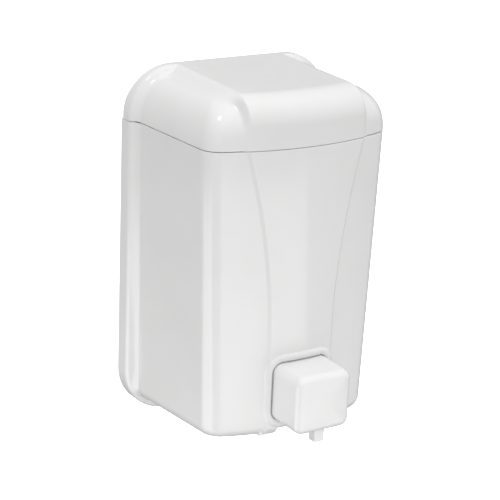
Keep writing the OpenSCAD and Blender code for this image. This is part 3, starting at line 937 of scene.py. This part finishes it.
def shell_height(x):
    """Height of the lid's outer surface beside the flange at x from the middle."""
    u = np.clip((side_w(SEAM) - np.abs(x)) / SIDE_REACH, 0.0, 1.0)
    dome = SEAM + (SHOULDER_Z - SEAM) * np.sqrt(1 - (1 - u) ** 2)
    across = (CROWN_FOOT[1] - np.abs(x)) / (CROWN_FOOT[1] - CROWN_EDGE[1])
    return dome + (HEIGHT - SHOULDER_Z) * side_climb(across)


def lid_web(point, out):
    """How far the flange's web reaches in from its outline before it is inside the lid's shell."""
    for t in np.arange(0.5, 12.0, 0.1):
        spot = point - t * out
        if abs(spot[0]) < side_w(SEAM) - 1.0 and spot[1] < shell_height(spot[0]) - 1.2:
            return float(t)
    return 6.0


def make_lid_flange():
    flange = Shape()
    flange.closed(flange_rows(1, lid_web))
    add_piece("lid_flange", flange.mesh("f"), SHELL, "lid", sharp=30.0)
    points = dome_section()
    sizes = [(COVE - FLANGE_FRONT) * float(1 - 0.6 * smooth((k - 40) / 10)) for k in range(len(points))]
    fillet = Shape()
    half = fillet_rows(points, sizes)[:len(points)]
    fillet.grid(half)
    fillet.grid([row * (-1.0, 1.0, 1.0) for row in half])
    add_piece("lid_fillet", fillet.mesh("f"), SHELL, "lid", sharp=80.0)


# ---------- push button ----------


def button_ring(depth, inset):
    outline = rounded_rect(BUTTON_W - 2 * inset, BUTTON_H - 2 * inset, max(BUTTON_R - inset, 0.6), 10)
    outline[:, 1] += PUMP_Z
    return np.insert(outline, 1, depth, axis=1)


def make_push_button():
    rows = [button_ring(BUTTON_BACK, 0.5), button_ring(BUTTON_BACK + 0.15, 0.15),
            button_ring(BUTTON_BACK + 0.5, 0.0)]
    for a in np.radians(np.linspace(0.0, 90.0, 13)):
        rows.append(button_ring(BUTTON_FRONT - BUTTON_CROWN - BUTTON_ROUND * (1 - math.sin(a)),
                                BUTTON_ROUND * (1 - math.cos(a))))
    rim = rows[-1]
    for t in (0.85, 0.7, 0.5, 0.3, 0.12):
        ring = mix(np.array((0.0, 0.0, PUMP_Z)), rim, t)
        ring[:, 1] = BUTTON_FRONT - BUTTON_CROWN * t * t
        rows.append(ring)
    cap = Shape()
    cap.grid(rows, wrap=True)
    cap.cap(rows[-1])
    floor = BUTTON_FRONT - BUTTON_WALL
    inner = [button_ring(BUTTON_BACK, BUTTON_WALL - 0.3), button_ring(BUTTON_BACK + 0.3, BUTTON_WALL),
             button_ring(floor - 1.0, BUTTON_WALL), button_ring(floor, BUTTON_WALL + 1.0)]
    cap.grid([rows[0]] + inner, wrap=True)
    cap.cap(inner[-1])
    mesh = cut(cap.mesh("button"), cutter(*SLOT))
    add_piece("button_cap", mesh, BUTTON, "button", "push_button", 35.0)


def make_spout():
    """Square nozzle with a round spigot, drawn as one skin from its outside round into its bore."""
    outline = rounded_rect(TIP_W, TIP_W, 0.7, 5)
    turns = np.arctan2(outline[:, 1], outline[:, 0])
    rows = []
    for z, inset in ((TIP_Z, 0.45), (TIP_Z + 0.12, 0.15), (TIP_Z + 0.45, 0.0), (TIP_TOP - 0.2, 0.0),
                     (TIP_TOP, 0.2)):
        rows.append(np.insert(outline * (1.0 - 2 * inset / TIP_W) + (0.0, TIP_DEPTH), 2, z, axis=1))
    spigot = TIP_TOP + SPIGOT_H
    for z, r in ((TIP_TOP, SPIGOT_R), (spigot - 0.15, SPIGOT_R), (spigot, SPIGOT_R - 0.15),
                 (spigot, TIP_BORE_R + 0.1), (spigot - 0.1, TIP_BORE_R), (TIP_Z + 0.2, TIP_BORE_R),
                 (TIP_Z, TIP_BORE_R + 0.2)):
        circle = np.stack([r * np.cos(turns), OUTLET + r * np.sin(turns)], axis=1)
        rows.append(np.insert(circle, 2, z, axis=1))
    tip = Shape()
    tip.grid(rows + rows[:1], wrap=True)
    add_piece("spout_nozzle", tip.mesh("tip"), BUTTON, "button", "spout_tip", 35.0)


# ---------- springs and CAD nodes ----------


def coil_rows(radius, wire, length, turns):
    """Rings of a wire wound round Z, with its end turns lying flat."""
    steps = turns * 36
    rows = []
    for k in range(steps + 1):
        t = k / steps
        ease = min(max((t * turns - 0.8) / (turns - 1.6), 0.0), 1.0)
        height = wire + (length - 2 * wire) * ease
        a = 2 * math.pi * turns * t
        ring = []
        for i in range(12):
            b = 2 * math.pi * i / 12
            reach = radius + wire * math.cos(b)
            ring.append((reach * math.cos(a), reach * math.sin(a), height + wire * math.sin(b)))
        rows.append(ring)
    return np.array(rows)


def add_spring(name, rows, body, node):
    spring = Shape()
    spring.closed(rows)
    add_piece(name, spring.mesh("s"), STEEL, body, node)


def make_springs():
    x, y, z = np.moveaxis(coil_rows(*RETURN_SPRING), -1, 0)
    rows = np.stack([x, GLAND_FRONT + z, PUMP_Z + y], axis=-1)
    add_spring("return_spring_coil", rows, "dispenser", "return_spring")
    rows = coil_rows(*OUTLET_SPRING) + (0.0, OUTLET, TIP_TOP + 1.0)
    add_spring("outlet_spring_coil", rows, "button", "outlet_spring")


CAD_LOOKS = {
    "wall_plate": PLATE, "hinge_pins": STEEL, "valve_housing": PUMP, "outlet_ball": STEEL,
    "piston_stem": PUMP, "piston_seal": RUBBER, "gland_cap": PUMP, "stem_seal": RUBBER,
    "pump_cylinder": PUMP, "pump_gasket": RUBBER, "clamp_nut": PUMP, "suction_elbow": PUMP,
    "inlet_seat": PUMP, "inlet_ball": STEEL, "strainer": PUMP
}


def dress_cad_nodes():
    """Give the CAD nodes that stay their materials and softened edges."""
    for name, material in CAD_LOOKS.items():
        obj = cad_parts[name]
        for slot in obj.material_slots:
            slot.material = material
        if name in ("outlet_ball", "inlet_ball", "stem_seal"):
            continue
        soften = obj.modifiers.new("soft_edges", "BEVEL")
        soften.width = 0.0002
        soften.segments = 2
        soften.limit_method = "ANGLE"
        soften.angle_limit = math.radians(40.0)


# ---------- stage and light ----------

# Soft light of the room: direction it comes from and its strength
ROOM_LIGHT = (
    ((0, 0, 1), 1.15), ((0, -1, 0), 0.26), ((0, 1, 0), 0.50), ((1, 0, 0), 0.39),
    ((1, -1, 1), 0.76), ((-1, 1, 1), 0.36), ((-1, -1, 1), 0.92)
)
# Area lights: name, place and size in metres, and power in watts
LIGHTS = (
    ("low_front", (0.05, -0.45, -0.32), 0.5, 1.1),
    ("low_left", (-0.45, -0.07, -0.37), 0.5, 1.7),
    ("high_left", (-0.60, -0.13, 1.35), 0.25, 1.5)
)
TARGET = Vector((0.0, -0.03, 0.0))
FLOOR_Z = -0.6
FLOOR_REACH = 9.0
FLOOR_GLOW = 0.9


def make_floor():
    """Pale floor, which the object neither mirrors nor takes light from."""
    mesh = bpy.data.meshes.new("floor")
    corners = [(x * FLOOR_REACH, y * FLOOR_REACH, 0.0) for x, y in ((-1, -1), (1, -1), (1, 1), (-1, 1))]
    mesh.from_pydata(corners, [], [(0, 1, 2, 3)])
    floor = bpy.data.objects.new("floor", mesh)
    floor.location.z = FLOOR_Z
    floor.visible_diffuse = False
    floor.visible_glossy = False
    scene.collection.objects.link(floor)
    material, shader = new_material("pale_floor")
    shader.inputs["Base Color"].default_value = (0.9, 0.9, 0.9, 1.0)
    shader.inputs["Roughness"].default_value = 0.9
    shader.inputs["Emission Color"].default_value = (1.0, 1.0, 1.0, 1.0)
    shader.inputs["Emission Strength"].default_value = FLOOR_GLOW
    mesh.materials.append(material)


def make_light(name, at, size, power):
    data = bpy.data.lights.new(name, "AREA")
    data.shape = "SQUARE"
    data.size = size
    data.energy = power
    obj = bpy.data.objects.new(name, data)
    obj.location = at
    obj.rotation_euler = (TARGET - Vector(at)).to_track_quat("-Z", "Y").to_euler()
    obj.visible_camera = False
    scene.collection.objects.link(obj)


def make_world():
    """Room lit by a few broad soft lobes."""
    world = bpy.data.worlds.new("studio")
    scene.world = world
    world.use_nodes = True
    tree = world.node_tree
    direction = tree.nodes.new("ShaderNodeTexCoord").outputs["Generated"]
    total = None
    for axis, level in ROOM_LIGHT:
        facing = tree.nodes.new("ShaderNodeVectorMath")
        facing.operation = "DOT_PRODUCT"
        facing.inputs[1].default_value = Vector(axis).normalized()
        tree.links.new(direction, facing.inputs[0])
        value = facing.outputs["Value"]
        for operation, number in (("MAXIMUM", 0.0), ("POWER", 3.0), ("MULTIPLY", level)):
            step = tree.nodes.new("ShaderNodeMath")
            step.operation = operation
            tree.links.new(value, step.inputs[0])
            step.inputs[1].default_value = number
            value = step.outputs[0]
        if total is not None:
            step = tree.nodes.new("ShaderNodeMath")
            tree.links.new(total, step.inputs[0])
            tree.links.new(value, step.inputs[1])
            value = step.outputs[0]
        total = value
    background = tree.nodes["Background"]
    background.inputs["Color"].default_value = (1.0, 1.0, 1.0, 1.0)
    tree.links.new(total, background.inputs["Strength"])


make_floor()
make_world()
for light in LIGHTS:
    make_light(*light)
scene.view_settings.view_transform = "Standard"

make_body_shell()
make_pump_pocket()
make_body_flange()
make_hinge_posts()
make_hangers()
make_lid_shell()
make_lid_flange()
make_lid_ears()
make_push_button()
make_spout()
make_springs()
dress_cad_nodes()
